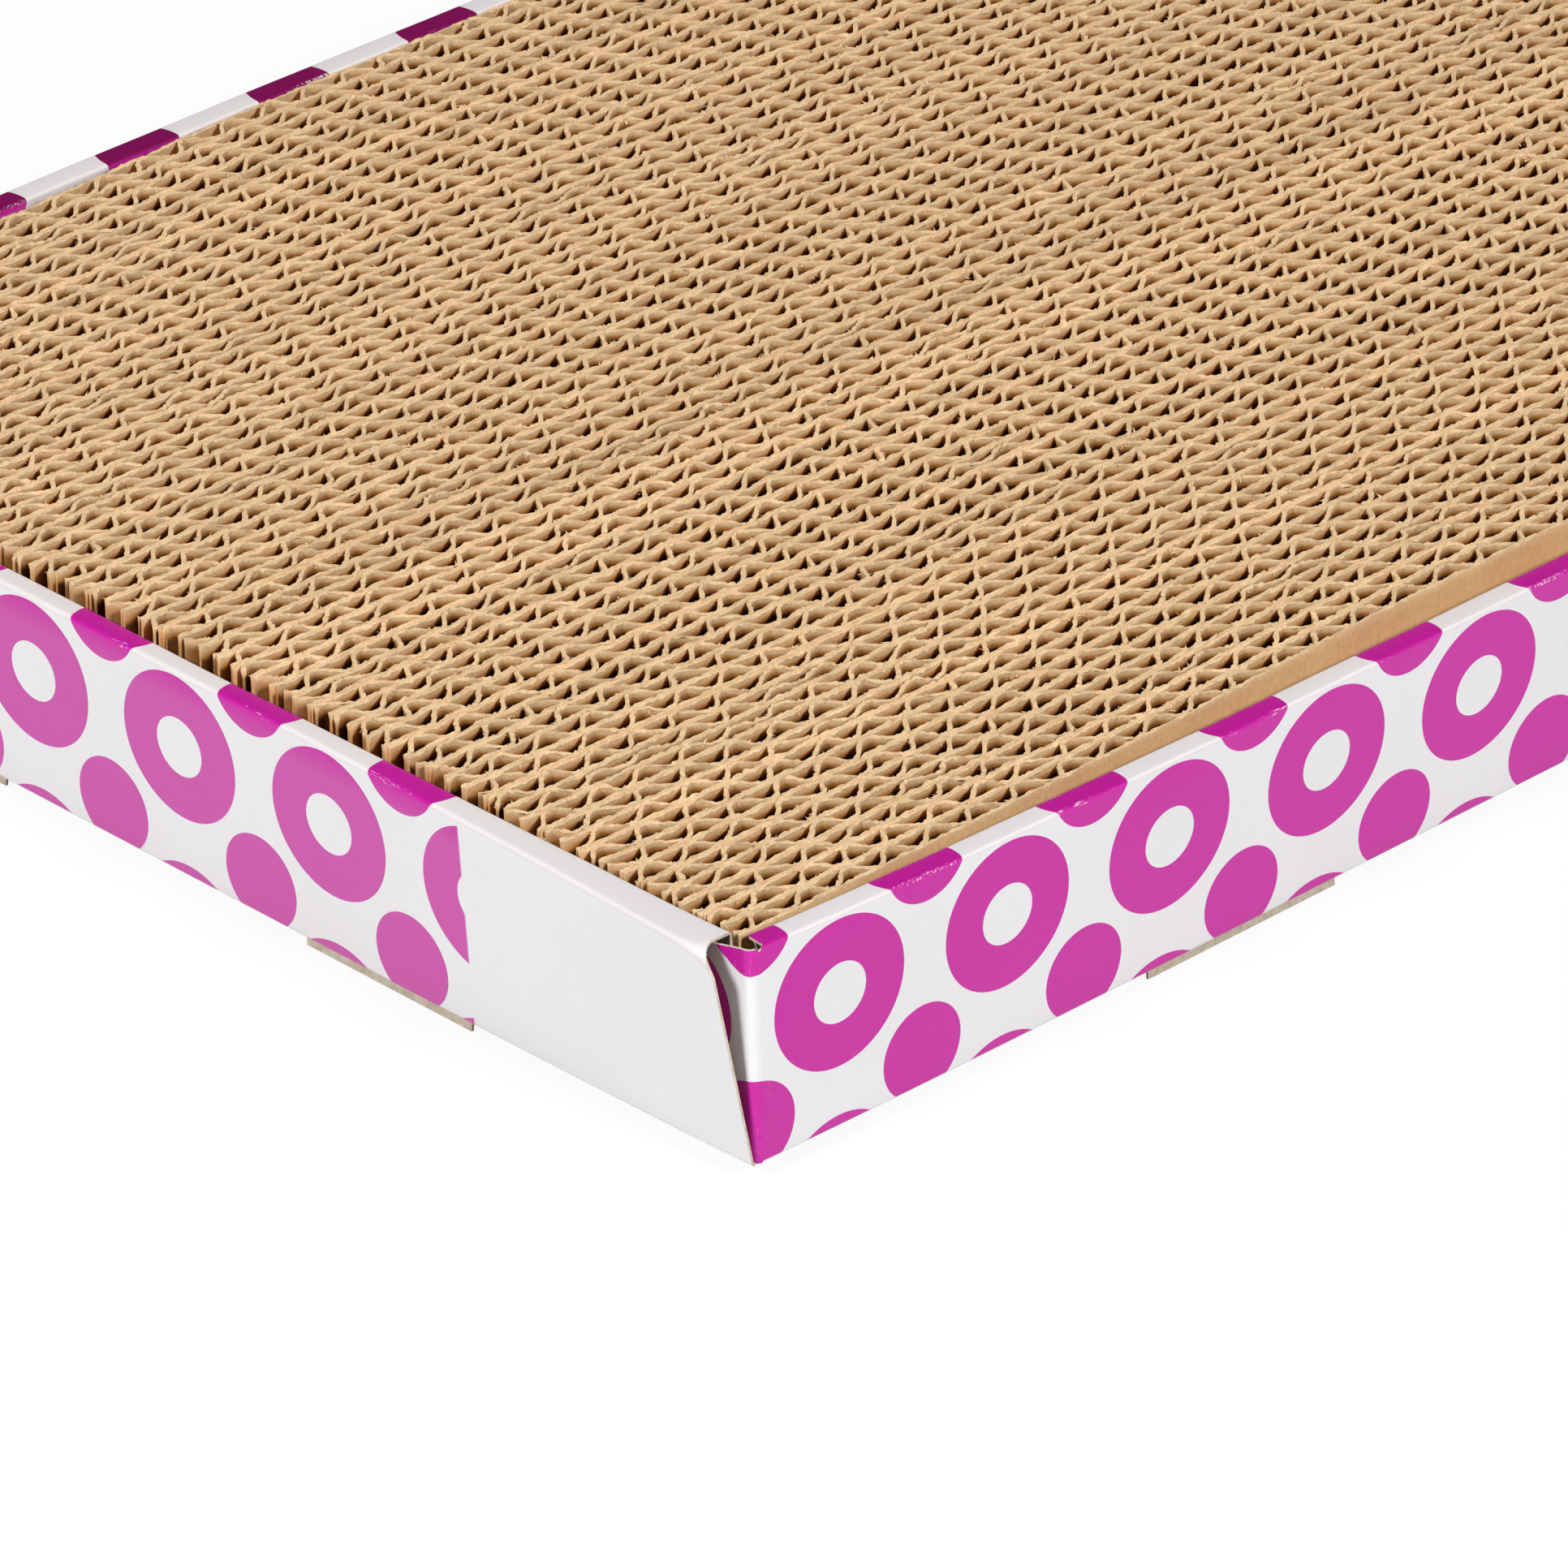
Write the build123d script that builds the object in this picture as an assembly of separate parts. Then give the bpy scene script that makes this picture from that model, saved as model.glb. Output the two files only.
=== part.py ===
from build123d import *
import math
import os

# Cardboard cat scratcher: a tray folded from thin printed board, and in it a pad of
# corrugated strips that stand on edge. All lengths are in millimetres. X runs along the
# tray, Y across it, Z up. The origin lies under the middle of the tray, on the floor.

# Corrugated strips of the pad
STRIP_COUNT = 60
STRIPS_PER_NODE = 2
STRIP_LENGTH = 450.0
STRIP_HEIGHT = 26.5
STRIP_THICK = 3.0
LINER_THICK = 0.2
MEDIUM_THICK = 0.18
FLUTE_PITCH = 6.5
CREST_FLAT = 0.8
PHASE_STEP_SHARE = 0.618

# Board of the tray and its folded walls
BOARD = 0.5
WALL_HEIGHT = 26.0
LONG_RIDGE = 3.2
END_RIDGE = 3.0
FLAP_LENGTH = 38.0
PAD_GAP = 0.5
FOLD_GAP = 0.1

# Lock tabs under the inner panels, which poke through slots in the base
TAB_DROP = 1.0
SLOT_GAP = 0.2
LONG_TAB_LENGTH = 29.0
LONG_TAB_INSET = 59.0
LONG_TAB_COUNT = 4
END_TAB_LENGTH = 26.0
END_TAB_INSET = 43.0
END_TAB_COUNT = 2

# Sizes that follow from those above
pad_width = STRIP_COUNT * STRIP_THICK
tray_length = STRIP_LENGTH + 2 * (PAD_GAP + END_RIDGE)
tray_width = pad_width + 2 * (PAD_GAP + LONG_RIDGE)
base_top = TAB_DROP + BOARD
ridge_top = TAB_DROP + WALL_HEIGHT
ridge_under = ridge_top - BOARD

# Where each side of the tray stands. A side is drawn with its outer face on the plane
# y = 0 and the inside of the tray towards +y, and is then turned and moved to its place.
SIDES = {
    "front": Pos(0, -tray_width / 2, 0),
    "rear": Pos(0, tray_width / 2, 0) * Rot(0, 0, 180),
    "left": Pos(-tray_length / 2, 0, 0) * Rot(0, 0, -90),
    "right": Pos(tray_length / 2, 0, 0) * Rot(0, 0, 90),
}
LONG_SIDES = ("front", "rear")
END_SIDES = ("left", "right")


def block(low, high):
    """A box between two corners."""
    size = [b - a for a, b in zip(low, high)]
    return Pos(*low) * Box(*size, align=(Align.MIN, Align.MIN, Align.MIN))


def save(name, piece):
    """Writes one node."""
    export_step(piece, f"parts/{name}.step", write_pcurves=False)


def side_sizes(side):
    """Outer length, ridge width, tab length, tab inset and tab count of a side."""
    if side in LONG_SIDES:
        return tray_length, LONG_RIDGE, LONG_TAB_LENGTH, LONG_TAB_INSET, LONG_TAB_COUNT
    return tray_width, END_RIDGE, END_TAB_LENGTH, END_TAB_INSET, END_TAB_COUNT


def panel_foot(side):
    """How far behind the outer face an inner panel stands on the base. On the ends it
    leaves room for the corner flaps."""
    layers_before = 1 if side in LONG_SIDES else 2
    return layers_before * BOARD + FOLD_GAP


def tab_centres(side):
    """Places of the lock tabs along a side, evenly spread between the outermost two."""
    length, _, tab_length, tab_inset, tab_count = side_sizes(side)
    first = -length / 2 + tab_inset + tab_length / 2
    step = -2 * first / max(tab_count - 1, 1)
    return [first + step * i for i in range(tab_count)]


def outer_wall(side):
    """Printed wall between the base crease and the ridge. The end walls cover the whole
    width, and the long walls stand between them."""
    half = side_sizes(side)[0] / 2
    if side in LONG_SIDES:
        half -= BOARD
    return block((-half, 0, TAB_DROP), (half, BOARD, ridge_under))


def top_strip(side):
    """Narrow strip between the two top creases. The long strips are cut off where the
    end strips pass."""
    length, ridge = side_sizes(side)[:2]
    half = length / 2
    if side in LONG_SIDES:
        half -= END_RIDGE
    return block((-half, 0, ridge_under), (half, ridge, ridge_top))


def inner_panel(side):
    """Roll-over panel, leaning from the ridge to the foot of the wall, with its tabs."""
    length, ridge, tab_length = side_sizes(side)[:3]
    foot = panel_foot(side)
    end_room = END_RIDGE if side in LONG_SIDES else BOARD
    span = length - 2 * (end_room + FOLD_GAP)
    profile = Polyline(
        (foot, base_top),
        (foot + BOARD, base_top),
        (ridge, ridge_under),
        (ridge - BOARD, ridge_under),
        close=True,
    )
    panel = Pos(-span / 2, 0, 0) * extrude(Plane.YZ * make_face(profile), span)
    for centre in tab_centres(side):
        low = (centre - tab_length / 2, foot, 0)
        high = (centre + tab_length / 2, foot + BOARD, base_top)
        panel += block(low, high)
    return panel


def corner_flap(side, direction):
    """Flap that turns the corner from a long wall and lies behind the end wall."""
    corner = tray_width / 2 - BOARD
    ends = sorted((direction * corner, direction * (corner - FLAP_LENGTH)))
    return block((ends[0], BOARD, base_top), (ends[1], 2 * BOARD, ridge_under))


def base_panel():
    """Floor of the tray, with a slot at its edge for every lock tab."""
    half_x, half_y = tray_length / 2 - BOARD, tray_width / 2 - BOARD
    base = block((-half_x, -half_y, TAB_DROP), (half_x, half_y, base_top))
    for side, place in SIDES.items():
        half_slot = side_sizes(side)[2] / 2 + SLOT_GAP
        depth = panel_foot(side) + BOARD + SLOT_GAP
        for centre in tab_centres(side):
            low = (centre - half_slot, 0, 0)
            high = (centre + half_slot, depth, ridge_top)
            base -= place * block(low, high)
    return base


def flute_cell(centre, foot_y, crest_y):
    """Outline of one flute cell in plan, wide on one liner and narrow at the crest."""
    rise = STRIP_THICK - 2 * LINER_THICK - MEDIUM_THICK
    crest_half = CREST_FLAT / 2
    run = FLUTE_PITCH / 2 - CREST_FLAT
    wall = MEDIUM_THICK * math.hypot(run, rise) / rise
    lean = MEDIUM_THICK / rise
    foot_half = (FLUTE_PITCH / 2 - crest_half * (1 + lean) - wall) / (1 - lean)
    corners = [
        Vector(centre - foot_half, foot_y),
        Vector(centre + foot_half, foot_y),
        Vector(centre + crest_half, crest_y),
        Vector(centre - crest_half, crest_y),
    ]
    return Wire.make_polygon(corners, close=True)


def strip_section(phase):
    """Plan of one strip: two liners and the fluted medium between them. The flutes are
    cut off wherever the strip happens to end."""
    half = STRIP_LENGTH / 2
    outline = Wire.make_rect(STRIP_LENGTH, STRIP_THICK)
    outline = outline.moved(Pos(0, STRIP_THICK / 2, 0))
    low_foot, high_foot = LINER_THICK, STRIP_THICK - LINER_THICK
    whole, cut = [], []
    for i in range(-2, math.ceil(2 * STRIP_LENGTH / FLUTE_PITCH) + 2):
        centre = -half + phase + i * FLUTE_PITCH / 2
        foot, crest = low_foot, high_foot - MEDIUM_THICK
        if i % 2:
            foot, crest = high_foot, low_foot + MEDIUM_THICK
        cell = flute_cell(centre, foot, crest)
        box = cell.bounding_box()
        if box.min.X > -half and box.max.X < half:
            whole.append(cell)
        elif box.max.X > -half and box.min.X < half:
            cut.append(Face(cell))
    return Face(outline, whole) - cut


def pad_strip(index):
    """One corrugated strip in its place in the pad. Its flutes start where they fall."""
    phase = (index * PHASE_STEP_SHARE) % 1 * FLUTE_PITCH
    strip = extrude(strip_section(phase), STRIP_HEIGHT, dir=(0, 0, 1))
    return Pos(0, -pad_width / 2 + index * STRIP_THICK, base_top) * strip


def save_tray():
    """Writes the panels of the folded tray."""
    save("base_panel", base_panel())
    for side, place in SIDES.items():
        save(f"{side}_outer_wall", place * outer_wall(side))
        save(f"{side}_top_strip", place * top_strip(side))
        save(f"{side}_inner_panel", place * inner_panel(side))
    for end, front_direction in zip(END_SIDES, (1, -1)):
        for side, direction in zip(LONG_SIDES, (front_direction, -front_direction)):
            save(f"{side}_{end}_flap", SIDES[end] * corner_flap(end, direction))


def save_pad():
    """Writes the strips of the pad, a few neighbours to a node."""
    for node, first in enumerate(range(0, STRIP_COUNT, STRIPS_PER_NODE), start=1):
        last = min(first + STRIPS_PER_NODE, STRIP_COUNT)
        strips = [pad_strip(index) for index in range(first, last)]
        save(f"pad_strips_{node:02d}", Compound(strips))


os.makedirs("parts", exist_ok=True)
save_tray()
save_pad()
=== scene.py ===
import math

import bpy
import numpy as np
from mathutils import Matrix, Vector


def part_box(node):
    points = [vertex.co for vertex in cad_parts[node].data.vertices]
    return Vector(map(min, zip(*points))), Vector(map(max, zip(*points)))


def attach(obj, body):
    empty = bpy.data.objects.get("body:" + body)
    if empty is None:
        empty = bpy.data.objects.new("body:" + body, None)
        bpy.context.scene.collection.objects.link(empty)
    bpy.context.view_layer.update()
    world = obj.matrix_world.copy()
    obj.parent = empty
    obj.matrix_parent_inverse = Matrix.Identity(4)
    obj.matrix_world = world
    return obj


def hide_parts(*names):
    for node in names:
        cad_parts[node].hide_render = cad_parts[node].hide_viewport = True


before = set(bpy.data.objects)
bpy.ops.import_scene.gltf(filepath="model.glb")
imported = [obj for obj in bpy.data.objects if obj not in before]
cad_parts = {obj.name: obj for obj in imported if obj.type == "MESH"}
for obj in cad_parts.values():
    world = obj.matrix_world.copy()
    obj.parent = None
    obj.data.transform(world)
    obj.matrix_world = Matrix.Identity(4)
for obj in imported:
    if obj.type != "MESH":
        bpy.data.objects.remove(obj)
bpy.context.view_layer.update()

# Looks of a cardboard cat scratcher: a tray folded from printed board, and a pad of
# corrugated strips on edge. Lengths are in metres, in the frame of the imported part.
MM = 0.001
rng = np.random.default_rng(41)

# Camera, at the photograph's viewing angle
CAMERA_PLACE = (-890.8 * MM, -781.6 * MM, 577.2 * MM)
CAMERA_AZIMUTH = math.radians(44.12)
CAMERA_ELEVATION = math.radians(29.04)
CAMERA_ROLL = math.radians(-0.32)
CAMERA_LENS = 248.13
CAMERA_CLIP = (100 * MM, 20000 * MM)

# Light and floor: a soft box on each side of the camera, and a weak one behind the object
LIGHT_TARGET = (-100 * MM, 0.0, 0.0)
SOFT_BOXES = {
    "right_box": (-100 * MM, -1507 * MM, 1144 * MM),
    "left_box": (-1607 * MM, 0.0, 1144 * MM),
}
SOFT_BOX_SIZE = 450 * MM
SOFT_BOX_WATTS = 27
BACK_BOX = (900 * MM, 1500 * MM, 260 * MM)
BACK_BOX_SIZE = 1000 * MM
BACK_BOX_WATTS = 5
WORLD_LIGHT = 0.04
FLOOR_REACH = 6000 * MM
FLOOR_GLOW_SHARE = 0.88

# Rates and weights of the sine waves that make up a random curve
WANDER_WAVES = ((1.0, 0.5), (1.7, 0.3), (2.9, 0.2))

# Creases of the folded board: how far each bend reaches from its corner
OUTER_CREASE_REACH = {"long": 0.5 * MM, "end": 0.7 * MM}
INNER_CREASE_REACH = 0.5 * MM
BASE_CREASE_REACH = 0.45 * MM
FOOT_REACH = 0.1 * MM
CORNER_REACH = 1.3 * MM
CORNER_ROUNDING = {"long": 0.0, "end": 2.0 * MM}
MAX_REACH_SHARE = 0.6
SHARP_FOLD_ANGLE = math.radians(40)

# Walls: how far their tops bow and flare outwards, and how the board waves
WALL_BOW = {"front": 2.4 * MM, "rear": 2.5 * MM, "left": 1.3 * MM, "right": 1.2 * MM}
BOW_POWER = 4
END_FLARE = {"left": (0.9 * MM, 2.7 * MM), "right": (1.7 * MM, 0.8 * MM)}
FLARE_START_SHARE = 0.1
BOARD_WAVE = 0.12 * MM
BOARD_WAVE_SPAN = 70 * MM
BOARD_WAVE_FADE_POWER = 6
RIDGE_DIP = 0.15 * MM
BOARD_SHOWN_SHARE = 0.62

# Corners: how the sheets lean, taper, are cut back and lift near them
CORNER_ZONE_SHARE = 0.9
CORNER_LEAN = 0.8 * MM
EDGE_TAPER = 2.2 * MM
RIDGE_SLANT = 1.9 * MM
PANEL_SETBACK = {"long": 3.6 * MM, "end": 2.4 * MM}
CORNER_LIFT = 0.8 * MM
CORNER_LIFT_LENGTH = 26 * MM
TOP_LIFT_SHARE = 0.65
FLAP_DROP = 0.1 * MM

# Lock tabs, and the base with their slots
SLOT_GAP = 0.7 * MM
TAB_FOOT = 0.78 * MM
TAB_END = 0.62 * MM
BASE_CELL = 9 * MM
BASE_CORNER_CUT = 1.4 * MM

# Columns along a side, and the rows of its section from the base crease up the wall, over
# the ridge and down to a tab
COLUMN_STEP = 4.0 * MM
CREASE_STEPS = 6
WALL_STEPS = 8
NOTCH_ROW = 4
ROW_RUNS = (1, WALL_STEPS, 2, 4, 2)
WALL_ROW = ROW_RUNS[0] + CREASE_STEPS
CREASE_ROW = WALL_ROW + ROW_RUNS[1]
FOLD_ROW = CREASE_ROW + CREASE_STEPS + ROW_RUNS[2] + CREASE_STEPS
FOOT_ROW = FOLD_ROW + ROW_RUNS[3] + CREASE_STEPS
ROW_COUNT = FOOT_ROW + ROW_RUNS[4] + 1
TINY = 0.01 * MM

# Print on the tray: rings with dots between them
PRINT_PERIOD = 24 * MM
RING_RADIUS_SHARE = 0.375
RING_HOLE_SHARE = 0.15
DOT_RADIUS_SHARE = 0.235
PRINT_EDGE_SHARE = 0.0015
PRINT_ROW = 16 * MM
PRINT_BLEED = 5 * MM
BARE_PANEL = 42 * MM
PRINT_SHIFT_SHARE = 0.37
# Painted shade on the ink of the ridges, a share for each side, strongest on the rear
RIDGE_INK_SHADE_SHARES = {"front": 0.25, "rear": 1.0, "left": 0.2, "right": 0.25}
BASE_CREASE_WEAR_SHARE = 0.5

# Wear of the ink on the creases: stretch of the marks and of their clusters on the sheet
WEAR_TICKS = ((120.0, 55.0, 1.0), (1.6, 0.5, 1.0))
WEAR_DASHES = ((18.0, 150.0, 1.0), (2.3, 0.5, 1.0))
WEAR_CRACKS = ((220.0, 22.0, 1.0), (20.0, 1.1, 1.0))
WEAR_CLUSTER_SHARE = 0.7
WEAR_LEVELS = (0.99, 1.04)
WEAR_CREASE_LEVELS = (0.25, 0.7)
WEAR_CRACK_SHARE = 0.25
WEAR_ROUGHNESS = 0.3

# Grain of the materials: noise scales per metre, and depths of the relief
FIBRE_LEVELS = (0.3, 0.7)
PRINT_GRAIN_SCALE = 4200.0
PRINT_CLOUD_SCALE = 60.0
PRINT_FIBRE_STRETCH = (90.0, 9.0, 1.0)
PRINT_ROUGHNESS = (0.34, 0.46)
PRINT_RELIEF = 0.05 * MM
RAW_FIBRE_SCALE = 900.0
RAW_SPECK_SCALE = 2600.0
RAW_RELIEF = 0.1 * MM
KRAFT_STRETCH = (1.0, 1.0, 0.45)
KRAFT_FIBRE_SCALE = 1900.0
KRAFT_GRAIN_SCALE = 3600.0
KRAFT_CLOUD_SCALE = 90.0
KRAFT_SPECK_SCALE = 4200.0
KRAFT_FIBRE_SHARE = 0.6
KRAFT_RELIEF = 0.22 * MM
KRAFT_UNDER_EDGE = 0.2 * MM

# Strips of the pad: their ends, papers and tones
STRIPS_PER_NODE = 2
STRIP_OVERRUN = 1.5 * MM
STRIP_END_PLAY = 0.7 * MM
STRIP_HEIGHT_PLAY = 0.04 * MM
STRIP_TONE_SHARES = (0.94, 1.05)
LINER = 0.34 * MM
LINER_END_PLAY = 0.4 * MM
# Painted light on the sides of the liners
LINER_SIDE_PAINTED_LIGHT = 1.05
MEDIUM = 0.31 * MM
# Painted shade on the sides of the medium
MEDIUM_SIDE_PAINTED_SHADE = 0.8
PAPER_TONE_SHARES = (0.96, 1.04)

# Flutes and the layers between strips. A drift is a span and a size of a random curve.
FLUTE_PITCH = 6.5 * MM
FLUTE_ROUND = 0.85
FLUTE_POINTS = 20
FLUTE_PRESS = 0.09 * MM
FLUTE_DRIFTS = ((60 * MM, 0.6 * MM), (17 * MM, 0.22 * MM))
FLUTE_LEAN = (40 * MM, 0.55 * MM)
STRIPS_IN_STEP = (5, 12)
PHASE_PLAY_SHARE = 0.03
CRUSHES_PER_STRIP = 2.0
CRUSH_WIDTHS = (4 * MM, 9 * MM)
CRUSH_SHARES = (0.25, 0.6)
LAYER_DRIFTS = ((95 * MM, 0.16 * MM), (9 * MM, 0.06 * MM))
OUTER_LAYER_SHARE = 0.4

# Cut face of the pad, and the spread edges of its papers
PAD_CROWN = 0.45 * MM
CORNER_DROP = 1.45 * MM
CORNER_DROP_X = 78 * MM
CORNER_DROP_Y = 60 * MM
CORNER_DROP_POWER = 6
BURR = 0.11 * MM
BURR_SHARES = (0.3, 1.6)
FRAY = 0.07 * MM
SHOULDER = 0.7 * MM
LINER_STEP = 0.55 * MM
EDGE_SPLIT = 2
SHARP_PAPER_ANGLE = math.radians(55)

# Torn fibres on the cut edges, one by one and in clumps
FUZZ_PER_METRE = 1100
FUZZ_ROOT = 0.11 * MM
FUZZ_REACH = 0.09 * MM
FUZZ_LONGEST = 0.5 * MM
FUZZ_DEPTHS = (-0.03 * MM, 0.22 * MM)
FUZZ_INSET_SHARES = (0.7, 1.05)
FUZZ_SIZE_SHARES = (0.4, 1.3)
FUZZ_DRIFT_SHARE = 1.1
FUZZ_RISE_SHARES = (0.1, 0.4)
FUZZ_TONE_SHARES = (0.9, 1.06)
CLUMPS_PER_METRE = 9
CLUMP_SPIKES = 7
CLUMP_SPREAD_COLUMNS = 0.8
CLUMP_DEPTH_SHARE = 4
CLUMP_SIZE_SHARE = 1.5
CLUMP_REACH = (0.15 * MM, 0.5 * MM)

# Painted shade in the hollows: depths between which it grows, and how far in from the sides and
# ends
HOLLOW_SHADE_DEPTHS = (0.35 * MM, 1.3 * MM)
HOLLOW_SHADE_TURN_SHARE = 0.5
HOLLOW_SHADE_INSETS = (0.5 * MM, 1.5 * MM)
HOLLOW_SHADE_END_INSET = 2.4 * MM


def axis_points(low, high, step):
    """Evenly spread places from low to high, at most a step apart."""
    return np.linspace(low, high, max(2, math.ceil((high - low) / step) + 1))


def wander(x, span, size):
    """A smooth random curve along x, about size high, that turns about every span."""
    total = np.zeros_like(x)
    for rate, weight in WANDER_WAVES:
        total += weight * np.sin(2 * np.pi * (rate * x / span + rng.uniform()))
    return size * total


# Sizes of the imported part
def node_box(name):
    """Lowest and highest corner of a node, as arrays."""
    low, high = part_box(name)
    return np.array(low), np.array(high)


wall_low, wall_high = node_box("front_outer_wall")
end_low = node_box("left_outer_wall")[0]
long_ridge_low, long_ridge_high = node_box("front_top_strip")
end_ridge_low, end_ridge_high = node_box("left_top_strip")
base_low, base_high = node_box("base_panel")
flap_low, flap_high = node_box("front_left_flap")
strip_nodes = sorted(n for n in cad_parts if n.startswith("pad_strips_"))
pad_low = node_box(strip_nodes[0])[0]
pad_high = node_box(strip_nodes[-1])[1]

half_length = -end_low[0]
half_width = -wall_low[1]
board = wall_high[1] - wall_low[1]
base_bottom, base_top = base_low[2], base_high[2]
ridge_top = long_ridge_high[2]
flap_length = flap_high[1] - flap_low[1]
wall_height = ridge_top - base_bottom
strip_count = STRIPS_PER_NODE * len(strip_nodes)
strip_pitch = (pad_high[1] - pad_low[1]) / strip_count

# Turn of each side about the vertical, and how far its outer face is from the middle
SIDES = {
    "front": (0, half_width),
    "rear": (180, half_width),
    "left": (-90, half_length),
    "right": (90, half_length),
}
LONG_SIDES = ("front", "rear")


def side_half(side):
    """Half the outer length of a side."""
    return half_length if side in LONG_SIDES else half_width


def ridge_width(side):
    """Width of the strip between the two top creases of a side."""
    if side in LONG_SIDES:
        return long_ridge_high[1] - long_ridge_low[1]
    return end_ridge_high[0] - end_ridge_low[0]


def from_side(side, points):
    """Points of a side (along, inward, up) in the frame of the part."""
    turn, reach = SIDES[side]
    c, s = math.cos(math.radians(turn)), math.sin(math.radians(turn))
    along, inward = points[..., 0], points[..., 1] - reach
    return np.stack([c * along - s * inward, s * along + c * inward, points[..., 2]], -1)


def to_side(side, points):
    """Points of the part in the frame of a side."""
    turn, reach = SIDES[side]
    c, s = math.cos(math.radians(turn)), math.sin(math.radians(turn))
    x, y = points[..., 0], points[..., 1]
    return np.stack([c * x + s * y, c * y - s * x + reach, points[..., 2]], -1)


def floor_lift(x, y):
    """How far the base rises off its plane: a little at the four corners."""
    far = np.hypot(half_length - np.abs(x), half_width - np.abs(y))
    return CORNER_LIFT * np.exp(-far / CORNER_LIFT_LENGTH)


# Materials
class Graph:
    """A material with short calls that add nodes and join them."""

    def __init__(self, name):
        self.material = bpy.data.materials.new(name)
        self.material.use_nodes = True
        self.tree = self.material.node_tree
        self.shader = self.tree.nodes["Principled BSDF"]

    def feed(self, socket, value):
        if isinstance(value, bpy.types.NodeSocket):
            self.tree.links.new(value, socket)
        else:
            socket.default_value = value

    def add(self, kind, output=0, settings=(), inputs=()):
        node = self.tree.nodes.new("ShaderNode" + kind)
        for key, value in dict(settings).items():
            setattr(node, key, value)
        for key, value in dict(inputs).items():
            self.feed(node.inputs[key], value)
        return node.outputs[output]

    def math(self, operation, *values):
        return self.add("Math", 0, {"operation": operation}, enumerate(values))

    def vector(self, operation, *values, output=0):
        return self.add("VectorMath", output, {"operation": operation}, enumerate(values))

    def mix(self, factor, a, b):
        return self.add("Mix", 2, {"data_type": "RGBA"}, {0: factor, 6: a, 7: b})

    def ramp(self, value, low, high, start=0.0, end=1.0):
        inputs = {0: value, 1: low, 2: high, 3: start, 4: end}
        return self.add("MapRange", 0, {"clamp": True}, inputs)

    def noise(self, vector, scale, detail=4.0, roughness=0.6):
        inputs = {"Vector": vector, "Scale": scale, "Detail": detail, "Roughness": roughness}
        return self.add("TexNoise", 0, (), inputs)

    def attribute(self, name):
        return self.add("Attribute", "Fac", {"attribute_name": name})

    def bump(self, height, strength, distance):
        inputs = {"Height": height, "Strength": strength, "Distance": distance}
        return self.add("Bump", 0, (), inputs)

    def place(self):
        return self.add("TexCoord", "Object")

    def set(self, **inputs):
        for key, value in inputs.items():
            self.feed(self.shader.inputs[key.replace("_", " ")], value)


def colour(red, green, blue):
    """An sRGB colour from 0 to 255, as linear light."""
    parts = [c / 255 for c in (red, green, blue)]
    linear = [c / 12.92 if c <= 0.04045 else ((c + 0.055) / 1.055) ** 2.4 for c in parts]
    return (*linear, 1.0)


WHITE_BOARD = colour(241, 240, 242)
WHITE_BOARD_DULL = colour(237, 236, 238)
WHITE_BOARD_WARM = colour(234, 230, 228)
INK = colour(206, 24, 164)
INK_GRAIN = colour(198, 19, 156)
# Painted sheen for the ink of the end walls
INK_PAINTED_SHEEN = colour(204, 75, 168)
# Painted shade for the ink of the ridges
INK_PAINTED_SHADE = colour(124, 1, 82)
# Painted shade for the white of the ridges
RIDGE_SHADE = colour(229, 223, 223)
RAW_BOARD = colour(214, 202, 186)
RAW_BOARD_DARK = colour(176, 160, 140)
RAW_EDGE_PALE = colour(228, 218, 203)
RAW_EDGE_DARK = colour(190, 174, 152)
RAW_SPECK = colour(122, 104, 84)
KRAFT = colour(240, 199, 148)
KRAFT_DARK = colour(214, 169, 116)
# Painted shade for the hollows of the pad: a warm brown, then near black
KRAFT_PAINTED_SHADE_WARM = colour(190, 126, 62)
KRAFT_PAINTED_SHADE_DARK = colour(78, 33, 4)
KRAFT_CUT = colour(245, 213, 170)
KRAFT_CUT_GRAIN = colour(220, 181, 134)
KRAFT_SPECK = colour(150, 108, 66)
FLOOR = colour(250, 250, 250)
FLOOR_BOUNCE = colour(188, 188, 188)


def print_mask(g):
    """Where ink lies: rings on a square grid and dots between them."""
    uv = g.add("UVMap", 0, {"uv_map": "print"})
    half = (0.5, 0.5, 0.0)
    soft = PRINT_EDGE_SHARE

    def disc(shift, radius):
        cell = g.vector("FRACTION", g.vector("ADD", uv, shift))
        away = g.vector("LENGTH", g.vector("SUBTRACT", cell, half), output=1)
        return g.ramp(away, radius - soft, radius + soft, 1.0, 0.0)

    ring = g.math("SUBTRACT", disc(half, RING_RADIUS_SHARE), disc(half, RING_HOLE_SHARE))
    motif = g.math("MAXIMUM", ring, disc((0.0, 0.0, 0.0), DOT_RADIUS_SHARE))
    return g.math("MULTIPLY", motif, g.attribute("ink")), uv


def crease_wear(g, uv):
    """Where ink has cracked off: ticks and dashes on the creases, in clusters."""

    def marks(crease, stretch, cluster_stretch):
        ticks = g.noise(g.vector("MULTIPLY", uv, stretch), 1.0, 4.0, 0.7)
        cluster = g.noise(g.vector("MULTIPLY", uv, cluster_stretch), 1.0, 1.0, 0.5)
        level = g.math("ADD", ticks, g.math("MULTIPLY", cluster, WEAR_CLUSTER_SHARE))
        on_crease = g.ramp(crease, *WEAR_CREASE_LEVELS)
        return g.math("MULTIPLY", g.ramp(level, *WEAR_LEVELS), on_crease)

    fold, corner = g.attribute("crease"), g.attribute("corner")
    ticks = marks(fold, *WEAR_TICKS)
    dashes = marks(fold, *WEAR_DASHES)
    cracks = g.math("MULTIPLY", marks(corner, *WEAR_CRACKS), WEAR_CRACK_SHARE)
    return g.math("MAXIMUM", g.math("MAXIMUM", ticks, dashes), cracks)


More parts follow.
